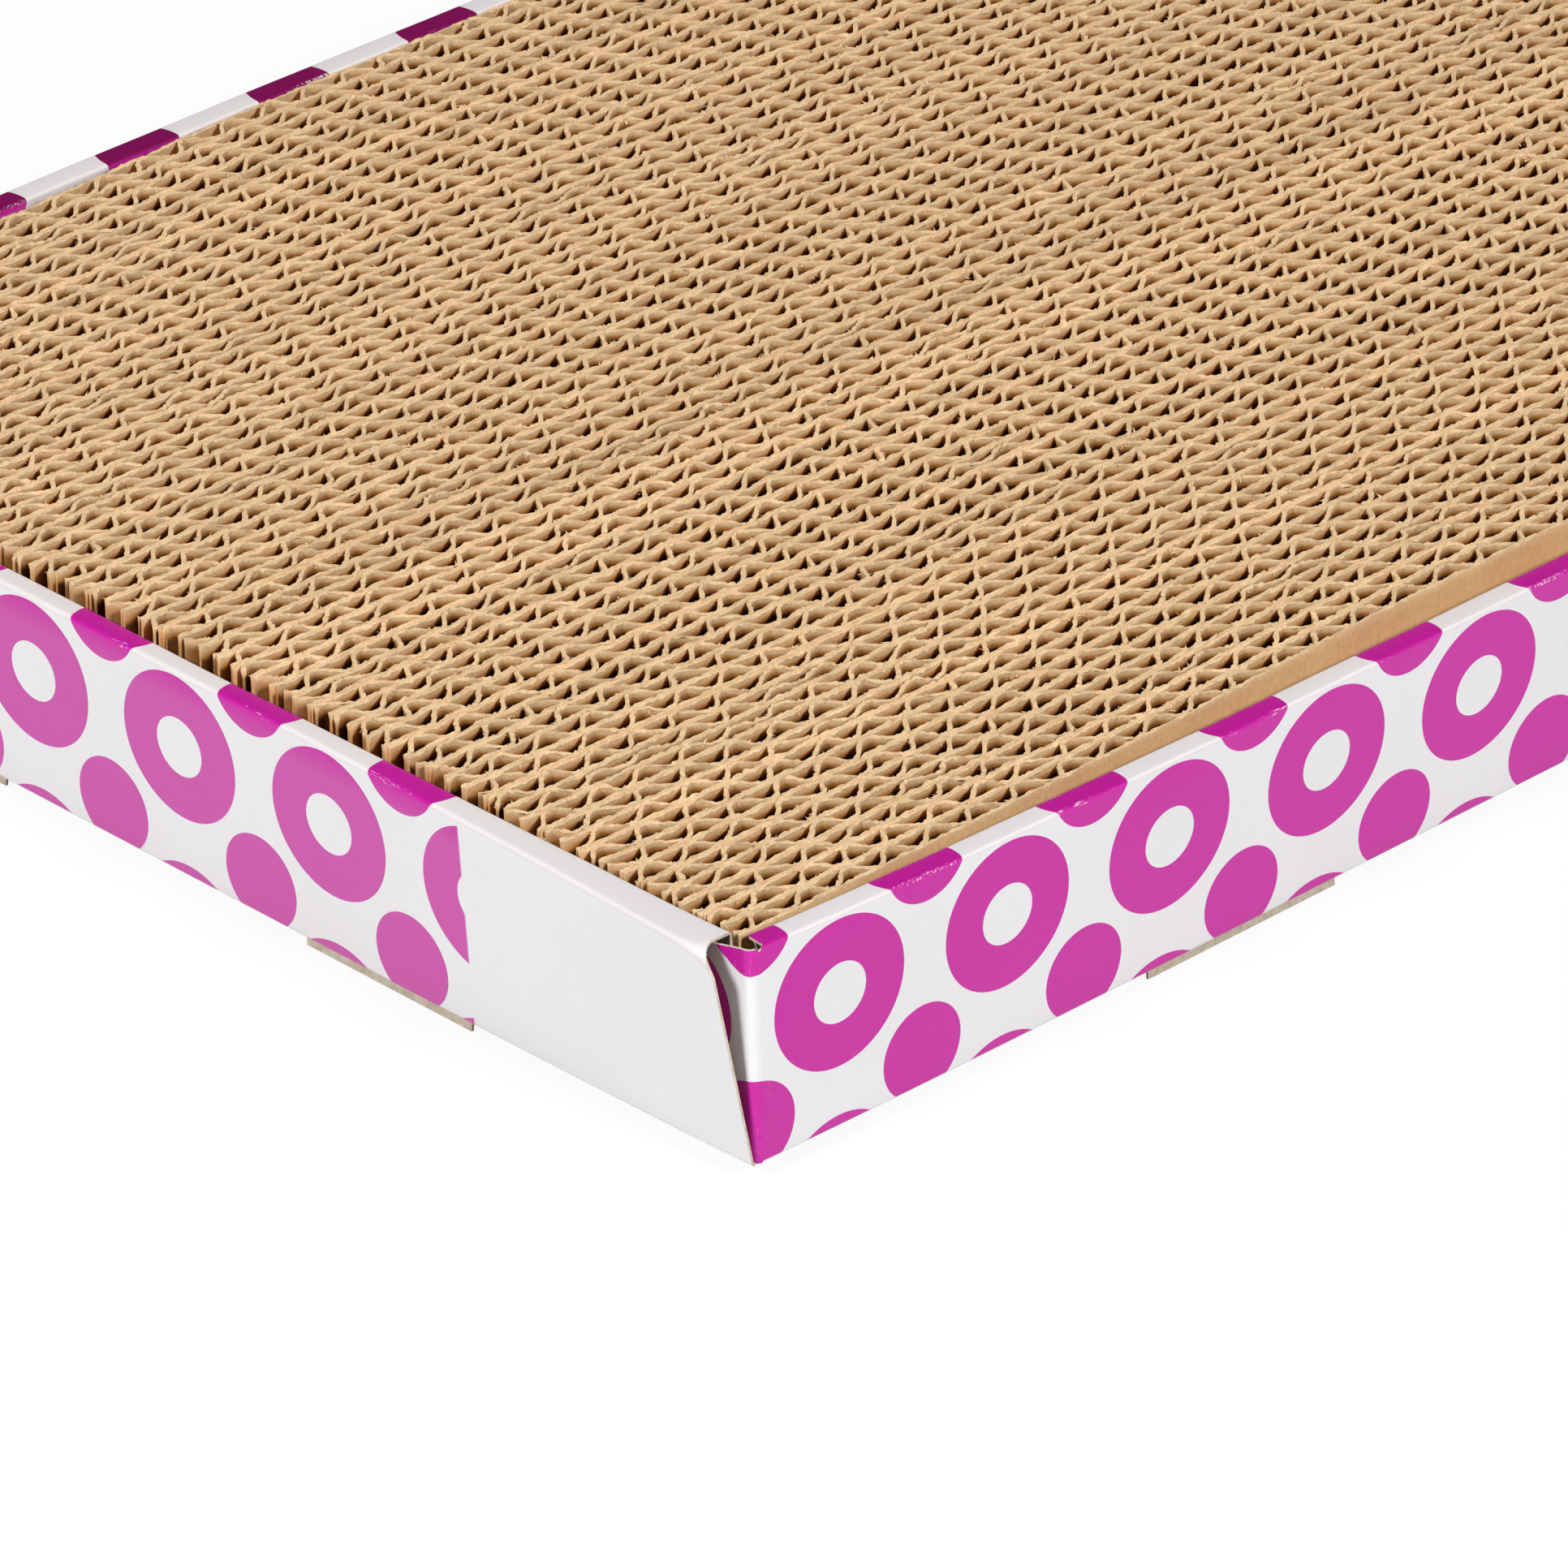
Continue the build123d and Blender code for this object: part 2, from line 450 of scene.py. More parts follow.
def printed_board():
    """White clay-coated board with glossy ink, cracked and rubbed along the creases, with
    painted sheen on the end walls' ink and painted shade on the ridges.
    """
    g = Graph("printed_board")
    place = g.place()
    ink, uv = print_mask(g)
    worn = crease_wear(g, uv)
    grains = g.noise(place, PRINT_GRAIN_SCALE, 3.0, 0.7)
    cloud = g.noise(place, PRINT_CLOUD_SCALE, 3.0)
    ink = g.math("MULTIPLY", ink, g.math("SUBTRACT", 1.0, worn))
    ink_tone = g.mix(g.ramp(grains, *FIBRE_LEVELS), INK, INK_GRAIN)
    # Painted sheen: lighter ink on the end walls
    ink_tone = g.mix(g.attribute("end_ink_sheen"), ink_tone, INK_PAINTED_SHEEN)
    # Painted shade on the ink of the ridges
    ink_tone = g.mix(g.attribute("ridge_ink_shade"), ink_tone, INK_PAINTED_SHADE)
    fibre = g.noise(g.vector("MULTIPLY", uv, PRINT_FIBRE_STRETCH), 1.0, 5.0, 0.7)
    paper = g.mix(g.ramp(fibre, *FIBRE_LEVELS), WHITE_BOARD_DULL, WHITE_BOARD)
    paper = g.mix(g.ramp(cloud, 0.35, 0.75, 0.0, 0.35), paper, WHITE_BOARD_WARM)
    # Painted shade on the white of the ridges
    paper = g.mix(g.attribute("ridge_paper_shade"), paper, RIDGE_SHADE)
    g.set(Base_Color=g.mix(ink, paper, ink_tone))
    rough = g.ramp(grains, 0.2, 0.8, *PRINT_ROUGHNESS)
    g.set(Roughness=g.math("ADD", rough, g.math("MULTIPLY", worn, WEAR_ROUGHNESS)))
    g.set(Specular_IOR_Level=0.5)
    g.set(Normal=g.bump(grains, 0.07, PRINT_RELIEF))
    return g.material


def raw_board(name, light, dark):
    """Uncoated back or cut edge of the board, grey-beige with short fibres."""
    g = Graph(name)
    place = g.place()
    fibre = g.noise(place, RAW_FIBRE_SCALE, 6.0, 0.7)
    speck = g.noise(place, RAW_SPECK_SCALE, 2.0, 0.5)
    tone = g.mix(g.ramp(fibre, 0.32, 0.68), dark, light)
    tone = g.mix(g.ramp(speck, 0.68, 0.75, 0.0, 0.5), tone, RAW_SPECK)
    g.set(Base_Color=tone, Roughness=0.9, Specular_IOR_Level=0.2)
    g.set(Normal=g.bump(fibre, 0.35, RAW_RELIEF))
    return g.material


def kraft_paper():
    """Brown paper of the strips: fibrous sides with painted shade that grows darker and warmer
    down in the hollows, and lighter cut edges."""
    g = Graph("kraft_paper")
    place = g.place()
    upright = g.vector("MULTIPLY", place, KRAFT_STRETCH)
    fibre = g.noise(upright, KRAFT_FIBRE_SCALE, 7.0, 0.75)
    grain = g.noise(place, KRAFT_GRAIN_SCALE, 4.0, 0.75)
    cloud = g.noise(place, KRAFT_CLOUD_SCALE, 3.0)
    speck = g.noise(place, KRAFT_SPECK_SCALE, 1.0, 0.4)
    side = g.mix(g.ramp(fibre, *FIBRE_LEVELS), KRAFT_DARK, KRAFT)
    side = g.mix(g.ramp(cloud, *FIBRE_LEVELS, 0.0, 0.35), side, KRAFT_DARK)
    edge = g.mix(g.ramp(grain, 0.34, 0.62), KRAFT_CUT_GRAIN, KRAFT_CUT)
    height = g.add("SeparateXYZ", 2, (), {0: place})
    # Painted shade: the sides darken with depth below the cut face and above the bottom, through
    # warm brown to near black, fading out at the pad's outer sides and strip ends
    top_depth = g.math("SUBTRACT", g.attribute("crest"), height)
    low_depth = g.math("SUBTRACT", height, pad_low[2])
    depth = g.ramp(g.math("MINIMUM", top_depth, low_depth), *HOLLOW_SHADE_DEPTHS)
    shade = g.math("MULTIPLY", depth, g.attribute("hollow_shade"))
    side = g.mix(g.ramp(shade, 0.0, HOLLOW_SHADE_TURN_SHARE), side, KRAFT_PAINTED_SHADE_WARM)
    side = g.mix(g.ramp(shade, HOLLOW_SHADE_TURN_SHARE, 1.0), side, KRAFT_PAINTED_SHADE_DARK)
    under = g.ramp(low_depth, KRAFT_UNDER_EDGE, 0.0)
    tone = g.mix(g.math("MAXIMUM", g.attribute("cut"), under), side, edge)
    tone = g.mix(g.ramp(speck, 0.72, 0.8, 0.0, 0.4), tone, KRAFT_SPECK)
    # The tone field holds each strip's random tone, and the painted light and shade on the sides
    # of its papers
    bright = g.add("HueSaturation", 0, (), {"Value": g.attribute("tone"), "Color": tone})
    g.set(Base_Color=bright, Roughness=0.92, Specular_IOR_Level=0.15)
    fibres = g.math("MULTIPLY", fibre, KRAFT_FIBRE_SHARE)
    grains = g.math("MULTIPLY", grain, 1 - KRAFT_FIBRE_SHARE)
    g.set(Normal=g.bump(g.math("ADD", fibres, grains), 0.9, KRAFT_RELIEF))
    return g.material


PRINTED = printed_board()
RAW_BACK = raw_board("raw_board", RAW_BOARD, RAW_BOARD_DARK)
RAW_EDGE = raw_board("raw_edge", RAW_EDGE_PALE, RAW_EDGE_DARK)
KRAFT_PAPER = kraft_paper()


# Fields that the printed board reads from a mesh
BOARD_FIELDS = ("crease", "corner", "ink", "ridge_ink_shade", "ridge_paper_shade", "end_ink_sheen")


# Meshes
def mesh_object(name, vertices, faces, attributes, materials):
    """A mesh object with point attributes and its materials."""
    mesh = bpy.data.meshes.new(name)
    mesh.from_pydata(np.asarray(vertices, float).tolist(), [], faces)
    for key, values in attributes.items():
        layer = mesh.attributes.new(key, "FLOAT", "POINT")
        layer.data.foreach_set("value", np.asarray(values, np.float32))
    for material in materials:
        mesh.materials.append(material)
    mesh.update()
    obj = bpy.data.objects.new(name, mesh)
    bpy.context.scene.collection.objects.link(obj)
    return obj


def thicken(obj):
    """Turns a sheet into board: back and cut edges take the next two materials."""
    layer = obj.modifiers.new("board", "SOLIDIFY")
    layer.thickness = BOARD_SHOWN_SHARE * board
    layer.offset = -1
    layer.use_even_offset = True
    layer.material_offset = 1
    layer.material_offset_rim = 2
    bpy.context.view_layer.update()
    solid = obj.evaluated_get(bpy.context.evaluated_depsgraph_get())
    mesh = bpy.data.meshes.new_from_object(solid)
    obj.modifiers.clear()
    old, obj.data = obj.data, mesh
    bpy.data.meshes.remove(old)
    smooth(obj, SHARP_FOLD_ANGLE)


def smooth(obj, sharp_angle):
    """Smooth shading, with edges kept sharper than an angle."""
    obj.data.shade_smooth()
    obj.data.set_sharp_from_angle(angle=sharp_angle)


def folded_path(corners, reaches, runs):
    """Points along a section with a round bend at each inner corner, and how far each
    point is into a bend. Every path of the same counts has as many points."""
    corners = [np.array(c, float) for c in corners]
    points, bends = [corners[0]], [0.0]
    for i, run in enumerate(runs):
        start, stop = points[-1], corners[i + 1]
        last = i == len(runs) - 1
        ahead = stop - start
        if not last:
            stop = stop - ahead / np.linalg.norm(ahead) * reaches[i]
        for k in range(1, run + 1):
            points.append(start + (stop - start) * k / run)
            bends.append(0.0)
        if last:
            break
        corner, onward = corners[i + 1], corners[i + 2] - corners[i + 1]
        exit_point = corner + onward / np.linalg.norm(onward) * reaches[i]
        for k in range(1, CREASE_STEPS + 1):
            t = k / CREASE_STEPS
            points.append((1 - t) ** 2 * stop + 2 * t * (1 - t) * corner + t * t * exit_point)
            bends.append(math.sin(math.pi * t))
    return np.array(points), np.array(bends)


def inner_feet(side):
    """Start and end of each lock tab along a side, and how far in its front face is."""
    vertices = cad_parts[f"{side}_inner_panel"].data.vertices
    points = to_side(side, np.array([v.co for v in vertices]))
    feet = points[points[:, 2] < base_bottom / 2]
    return np.unique(np.round(feet[:, 0], 5)).reshape(-1, 2), feet[:, 1].max()


def side_plan(side, tabs):
    """Columns of a side's flat sheet: place along the sheet, plan point, inward direction
    and whether the column is on the wall itself. Long sides carry a flap at each end."""
    long_side = side in LONG_SIDES
    half = side_half(side)
    end = half - board - CORNER_REACH if long_side else half
    slots = tabs + np.array([-SLOT_GAP, SLOT_GAP])
    marks = [*tabs.ravel(), *slots.ravel(), *axis_points(-end, end, COLUMN_STEP)]
    if not long_side:
        marks += [half - BARE_PANEL, half - BARE_PANEL + PRINT_EDGE_SHARE * PRINT_PERIOD]
    along = np.unique(np.round(marks, 6))
    plan = np.stack([along, np.zeros_like(along)], 1)
    inward = np.tile([0.0, 1.0], (len(along), 1))
    wall = np.ones(len(along), bool)
    if not long_side:
        return along, plan, inward, wall
    corner = half - board
    t = np.linspace(0, 1, CREASE_STEPS + 1)[1:]
    bend = np.stack([CORNER_REACH * (1 - t) ** 2 - CORNER_REACH, CORNER_REACH * t**2], 1)
    bend_in = np.stack([np.sin(t * np.pi / 2), np.cos(t * np.pi / 2)], 1)
    flap = axis_points(CORNER_REACH, flap_length, COLUMN_STEP)[1:]
    turn_plan = np.concatenate([bend, np.stack([0 * flap - CORNER_REACH, flap], 1)])
    turn_plan[:, 0] -= corner - CORNER_REACH
    turn_in = np.concatenate([bend_in, np.tile([1.0, 0.0], (len(flap), 1))])
    turn_along = -corner - np.concatenate([CORNER_REACH * (2 * t - 1), flap])
    mirror = np.array([-1.0, 1.0])
    along = np.concatenate([turn_along[::-1], along, -turn_along])
    plan = np.concatenate([turn_plan[::-1], plan, turn_plan * mirror])
    inward = np.concatenate([turn_in[::-1], inward, turn_in * mirror])
    off_wall = np.zeros(len(turn_along), bool)
    return along, plan, inward, np.concatenate([off_wall, wall, off_wall])


def top_lean(side, share):
    """How far the outer and inner top creases lean out, at a share of the half length."""
    if side in LONG_SIDES:
        lean = WALL_BOW[side] * (1 - min(abs(share), 1) ** BOW_POWER)
        return lean, lean
    flare = END_FLARE[side][int(share > 0)]
    past = max(0.0, abs(share) - FLARE_START_SHARE) / (1 - FLARE_START_SHARE)
    return WALL_BOW[side] + flare * past**2, WALL_BOW[side]


def side_section(side, share, plan_point, on_wall, foot, wave):
    """Section of a side at a share of its half length, as (inward, up) points, and how far
    each is into a bend. Off the wall, the sheet is a flap whose lower edge is cut. The foot
    is where the inner panel stands, and the end of a tab below it."""
    kind = "long" if side in LONG_SIDES else "end"
    ridge = ridge_width(side)
    lean_out, lean_in = top_lean(side, share) if on_wall else (0.0, 0.0)
    x, y, _ = from_side(side, np.array([*plan_point, 0.0]))
    lift = floor_lift(x, y)
    low = base_bottom + lift
    top = ridge_top + TOP_LIFT_SHARE * lift
    reach = OUTER_CREASE_REACH[kind] + CORNER_ROUNDING[kind] * corner_zone(share) ** 2
    reach = min(reach, MAX_REACH_SHARE * (ridge + lean_out - lean_in))
    reaches = (BASE_CREASE_REACH, reach, INNER_CREASE_REACH, FOOT_REACH)
    corners = [
        (board, low),
        (0, low),
        (-lean_out + wave, top),
        (ridge - lean_in + wave, top - RIDGE_DIP),
        (foot[0], base_top),
        (foot[1], 0),
    ]
    section, bends = folded_path(corners, reaches, ROW_RUNS)
    if not on_wall:
        in_flap = plan_point[1] > CORNER_REACH
        section[WALL_ROW, 1] = base_top + lift if in_flap else low
        section[CREASE_ROW, 1] = ridge_top - board if in_flap else top - FLAP_DROP
    return section, bends


def corner_zone(share):
    """From 0 to 1 over the last stretch before a corner, at a share of the half length."""
    return np.clip((np.abs(share) - CORNER_ZONE_SHARE) / (1 - CORNER_ZONE_SHARE), 0, 1)


def side_faces(along, wall, tabs):
    """Quads of a side's sheet. Flaps have wall rows only, the last rows are tabs, and the
    first rows are left out at the slots."""
    faces = []
    for i in range(len(along) - 1):
        on_wall = wall[i] and wall[i + 1]
        in_tab = any(along[i] > a - TINY and along[i + 1] < b + TINY for a, b in tabs)
        room = SLOT_GAP + TINY
        in_slot = any(along[i] > a - room and along[i + 1] < b + room for a, b in tabs)
        first = NOTCH_ROW if in_slot else 0 if on_wall else WALL_ROW
        last = ROW_COUNT - 1 if in_tab else FOOT_ROW if on_wall else CREASE_ROW
        for j in range(first, last):
            a = i * ROW_COUNT + j
            faces.append((a, a + ROW_COUNT, a + ROW_COUNT + 1, a + 1))
    return np.array(faces)


def side_sections(side, columns, tabs, foot):
    """Sections at all columns of a side, and how far each row of them is into a bend."""
    along, plan, _, wall = columns
    share = along / side_half(side)
    fade = 1 - np.minimum(np.abs(share), 1) ** BOARD_WAVE_FADE_POWER
    wave = wander(along, BOARD_WAVE_SPAN, BOARD_WAVE) * wall * fade
    sections = []
    for i, place in enumerate(along):
        in_tab = any(a - TINY < place < b + TINY for a, b in tabs)
        feet = (TAB_FOOT, TAB_END) if in_tab else (foot, foot)
        section, bends = side_section(side, share[i], plan[i], wall[i], feet, wave[i])
        sections.append(section)
    return np.array(sections), bends


def side_points(side, columns, sections):
    """Points of a side's sheet, with the tapers and cuts at its ends."""
    along, plan, inward, wall = columns
    near_corner = np.sign(along) * corner_zone(along / side_half(side)) ** 2
    up_share = np.clip((sections[..., 1] - base_bottom) / wall_height, 0, 1)
    shift = CORNER_LEAN if side in LONG_SIDES else -EDGE_TAPER
    points = np.zeros((len(along), ROW_COUNT, 3))
    points[..., :2] = plan[:, None, :] + inward[:, None, :] * sections[..., :1]
    points[..., 0] += (near_corner * shift)[:, None] * up_share
    points[..., 2] = sections[..., 1]
    rows = np.arange(ROW_COUNT)
    if side in LONG_SIDES:
        ends = np.flatnonzero(wall)[[0, -1]]
        marks = (CREASE_ROW, FOLD_ROW, FOLD_ROW + 1)
        cut = np.interp(rows, marks, (0.0, RIDGE_SLANT, PANEL_SETBACK["long"]))
        points[ends, :, 0] -= np.sign(along[ends])[:, None] * cut
    else:
        marks = (CREASE_ROW, CREASE_ROW + CREASE_STEPS)
        cut = np.interp(rows, marks, (0.0, PANEL_SETBACK["end"]))
        points[..., 0] -= near_corner[:, None] * cut
    return points


def sheet_heights(section):
    """How far up the flat sheet each row of a section is, from the foot of the wall."""
    steps = np.linalg.norm(np.diff(section, axis=0), axis=1)
    heights = np.concatenate([[0], np.cumsum(steps)])
    return heights - heights[WALL_ROW]


def side_fields(side, along, heights, bends):
    """Values that the printed board reads at each point of a side's sheet, painted shade on the
    ridges and painted sheen on the end walls among them.
    """
    half = side_half(side)
    fields = {key: np.zeros((len(along), ROW_COUNT)) for key in BOARD_FIELDS}
    fields["crease"][:] = bends
    fields["crease"][:, :WALL_ROW] *= BASE_CREASE_WEAR_SHARE
    fields["ink"][:, heights <= heights[FOLD_ROW] + PRINT_BLEED] = 1
    # Painted shade on the ink of the ridges
    fields["ridge_ink_shade"][:, CREASE_ROW + CREASE_STEPS // 2 : FOLD_ROW - 1] = RIDGE_INK_SHADE_SHARES[side]
    # Painted shade on the white paper of the ridges, on every side
    fields["ridge_paper_shade"][:, CREASE_ROW + 1 : FOLD_ROW + 1] = 1
    if side in LONG_SIDES:
        turning = 1 - np.abs(np.abs(along) - (half - board)) / (2 * CORNER_REACH)
        fields["corner"][:] = np.clip(turning, 0, 1)[:, None]
    else:
        fields["ink"][along > half - BARE_PANEL] = 0
        # Painted sheen: lighter ink on the walls of the end sides
        fields["end_ink_sheen"][:, :CREASE_ROW] = 1
    return fields


def side_piece(side):
    """One folded side of the tray: outer wall, ridge, inner panel with its lock tabs and,
    on a long side, the two corner flaps."""
    tabs, foot = inner_feet(side)
    columns = side_plan(side, tabs)
    along, wall = columns[0], columns[-1]
    sections, bends = side_sections(side, columns, tabs, foot)
    heights = sheet_heights(sections[np.argmin(np.abs(along))])
    fields = side_fields(side, along, heights, bends)
    used, faces = np.unique(side_faces(along, wall, tabs), return_inverse=True)
    faces = faces.reshape(-1, 4)
    points = from_side(side, side_points(side, columns, sections)).reshape(-1, 3)[used]
    attributes = {key: field.ravel()[used] for key, field in fields.items()}
    materials = (PRINTED, RAW_BACK, RAW_EDGE)
    obj = mesh_object(f"{side}_folded_wall", points, faces.tolist(), attributes, materials)
    grid = np.zeros((len(along), ROW_COUNT, 2))
    grid[..., 0] = along[:, None] / PRINT_PERIOD + PRINT_SHIFT_SHARE * list(SIDES).index(side)
    grid[..., 1] = (heights - PRINT_ROW) / PRINT_PERIOD
    layer = obj.data.uv_layers.new(name="print")
    layer.data.foreach_set("uv", grid.reshape(-1, 2)[used][faces.ravel()].ravel())
    thicken(obj)
    replaced = [f"{side}_{part}" for part in ("outer_wall", "top_strip", "inner_panel")]
    if side in LONG_SIDES:
        replaced += [f"{side}_left_flap", f"{side}_right_flap"]
    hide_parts(*replaced)
    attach(obj, "tray")


def base_slots():
    """Lowest and highest corner of the slot for each lock tab."""
    slots = []
    for side in SIDES:
        tabs, foot = inner_feet(side)
        for a, b in tabs:
            corners = np.array([[a - SLOT_GAP, 0, 0], [b + SLOT_GAP, foot + SLOT_GAP, 0]])
            world = from_side(side, corners)
            slots.append((world.min(0), world.max(0)))
    return slots


def base_piece():
    """Floor of the tray: a sheet with a slot at its edge for every lock tab."""
    slots = base_slots()
    lines = []
    for axis in (0, 1):
        low, high = base_low[axis], base_high[axis]
        marks = [m[axis] for slot in slots for m in slot if low < m[axis] < high]
        marks += [low + BASE_CORNER_CUT, high - BASE_CORNER_CUT]
        lines.append(np.unique(np.round([*marks, *axis_points(low, high, BASE_CELL)], 6)))
    xs, ys = lines
    grid = np.stack(np.meshgrid(xs, ys, indexing="ij"), -1)
    for i in (0, -1):
        for j in (0, -1):
            grid[i, j] -= np.sign(grid[i, j]) * BASE_CORNER_CUT / 2
    height = base_top + floor_lift(grid[..., 0], grid[..., 1])
    vertices = np.concatenate([grid, height[..., None]], -1).reshape(-1, 3)
    faces = []
    for i in range(len(xs) - 1):
        for j in range(len(ys) - 1):
            middle = np.array([xs[i] + xs[i + 1], ys[j] + ys[j + 1]]) / 2
            if any(np.all(middle > a[:2]) and np.all(middle < b[:2]) for a, b in slots):
                continue
            a = i * len(ys) + j
            faces.append((a, a + len(ys), a + len(ys) + 1, a + 1))
    blank = {key: np.zeros(len(vertices)) for key in BOARD_FIELDS}
    obj = mesh_object("tray_base", vertices, faces, blank, (RAW_BACK, PRINTED, RAW_EDGE))
    obj.data.uv_layers.new(name="print")
    thicken(obj)
    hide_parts("base_panel")
    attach(obj, "tray")


# The pad
SPIKE_FACES = np.array([(0, 2, 1), (0, 1, 3), (1, 2, 3), (2, 0, 3)])


def pad_top(x, y):
    """Height of the cut face: a slight crown that falls off at the four corners."""
    far_x = (pad_high[0] - np.abs(x)) / CORNER_DROP_X
    far_y = (pad_high[1] - np.abs(y)) / CORNER_DROP_Y
    drop = CORNER_DROP * np.exp(-np.abs(far_x) ** CORNER_DROP_POWER - far_y**2)
    return pad_high[2] + PAD_CROWN - drop


def unit(vectors):
    """Vectors of length one."""
    return vectors / np.linalg.norm(vectors, axis=-1, keepdims=True)


def left_of(directions):
    """Plan directions turned to the left."""
    return np.stack([-directions[:, 1], directions[:, 0]], 1)


class Ribbons:
    """Collects the upright paper walls of one node, and the fuzz on their cut edges."""

    def __init__(self):
        self.vertices, self.faces, self.cut, self.tone = [], [], [], []
        self.count = 0

    def keep(self, points, faces, cut, tone):
        """Adds points with their cut and tone, and groups of faces between them."""
        self.vertices.append(points)
        for group in faces:
            self.faces += (self.count + group).tolist()
        self.cut.append(np.broadcast_to(cut, len(points)))
        self.tone.append(np.broadcast_to(tone, len(points)))
        self.count += len(points)

    def wall(self, line, half, burrs, strip_height, tone, painted_side_light):
        """A closed wall of paper along a plan line, with a frayed, spread top edge. Below its
        shoulder it has fewer columns, and its sides take a share of the tone as painted light
        and shade."""
        line = line[: len(line) - (len(line) - 1) % EDGE_SPLIT]
        n = len(line)
        across = left_of(unit(np.gradient(line, axis=0)))
        top = pad_top(line[:, 0], line[:, 1]) + strip_height
        low = pad_low[2] + floor_lift(line[:, 0], line[:, 1])
        points, cut, tones = [], [], []
        for sign, burr in zip((1, -1), burrs):
            edge = line + sign * across * half
            spread = edge + sign * across * burr * rng.uniform(*BURR_SHARES, (n, 1))
            ragged = spread + rng.normal(0, FRAY / 2, (n, 2))
            crest = top + rng.normal(0, FRAY, n)
            few = slice(None, None, EDGE_SPLIT)
            levels = (
                (edge[few], low[few], 0.0),
                (edge[few], top[few] - SHOULDER, 0.0),
                (ragged, crest, 1.0),
            )
            for plan, height, share in levels:
                points.append(np.concatenate([plan, height[:, None]], 1))
                cut.append(np.full(len(plan), share))
                # Painted light and shade: the sides take a share of the strip's tone, the top
                # edge all of it
                tones.append(np.full(len(plan), tone * (1 if share else painted_side_light)))
        cut, tones = np.concatenate(cut), np.concatenate(tones)
        self.keep(np.concatenate(points), ribbon_faces(n), cut, tones)
        for sign, burr in zip((1, -1), burrs):
            if burr:
                self.fuzz(line, half + burr / 2, sign, top, tone)

    def fuzz(self, line, half, sign, top, tone):
        """Torn fibres on one side of a cut edge: small closed spikes that lean outwards."""
        length = np.linalg.norm(np.diff(line, axis=0), axis=1).sum()
        last = len(line) - 1.001
        clumps = rng.uniform(0, last, rng.poisson(length * CLUMPS_PER_METRE))
        clumps = np.repeat(clumps, CLUMP_SPIKES)
        place = rng.uniform(0, last, rng.poisson(length * FUZZ_PER_METRE))
        spread = clumps + rng.normal(0, CLUMP_SPREAD_COLUMNS, len(clumps))
        place = np.concatenate([place, np.clip(spread, 0, last)])
        n = len(place)
        in_clump = np.arange(n) >= n - len(clumps)
        i = place.astype(int)
        share = (place - i)[:, None]
        ahead = unit(line[i + 1] - line[i])
        outward = left_of(ahead) * sign
        root = line[i] * (1 - share) + line[i + 1] * share
        root = root + outward * half * rng.uniform(*FUZZ_INSET_SHARES, (n, 1))
        level = top[i] - rng.uniform(*FUZZ_DEPTHS, n) * np.where(in_clump, CLUMP_DEPTH_SHARE, 1)
        size = FUZZ_ROOT * rng.uniform(*FUZZ_SIZE_SHARES, (n, 1))
        size = size * np.where(in_clump, CLUMP_SIZE_SHARE, 1)[:, None]
        reach = np.minimum(FUZZ_REACH + rng.exponential(FUZZ_REACH, (n, 1)), FUZZ_LONGEST)
        reach = np.where(in_clump[:, None], rng.uniform(*CLUMP_REACH, (n, 1)), reach)
        drift = rng.normal(0, FUZZ_DRIFT_SHARE, (n, 1)) * reach
        rise = rng.normal(*FUZZ_RISE_SHARES, n) * reach[:, 0]
        corners = [
            np.concatenate([root - ahead * size, level[:, None]], 1),
            np.concatenate([root + ahead * size, level[:, None]], 1),
            np.concatenate([root - outward * size, level[:, None] - size], 1),
            np.concatenate([root + outward * reach + ahead * drift, (level + rise)[:, None]], 1),
        ]
        a, b, c, d = corners
        volume = np.einsum("ij,ij->i", np.cross(b - a, c - a), d - a)
        flip = (volume < 0)[:, None]
        corners[0], corners[1] = np.where(flip, b, a), np.where(flip, a, b)
        points = np.stack(corners, 1).reshape(-1, 3)
        faces = (4 * np.arange(n)[:, None, None] + SPIKE_FACES[None]).reshape(-1, 3)
        tones = np.repeat(tone * rng.uniform(*FUZZ_TONE_SHARES, n), len(corners))
        self.keep(points, [faces], 1.0, tones)

    def build(self, name):
        """The node's mesh object, with the values that the paper reads."""
        points = np.concatenate(self.vertices)
        far_y = pad_high[1] - np.abs(points[:, 1])
        far_x = pad_high[0] + STRIP_OVERRUN - np.abs(points[:, 0])
        # Where the painted shade of the hollows may lie: none at the pad's outer sides and at
        # the strip ends
        inside = np.interp(far_y, HOLLOW_SHADE_INSETS, (0, 1))
        values = {
            "cut": np.concatenate(self.cut),
            "tone": np.concatenate(self.tone),
            "hollow_shade": inside * np.clip(far_x / HOLLOW_SHADE_END_INSET, 0, 1),
            "crest": pad_top(points[:, 0], points[:, 1]),
        }
        return mesh_object(name, points, self.faces, values, (KRAFT_PAPER,))


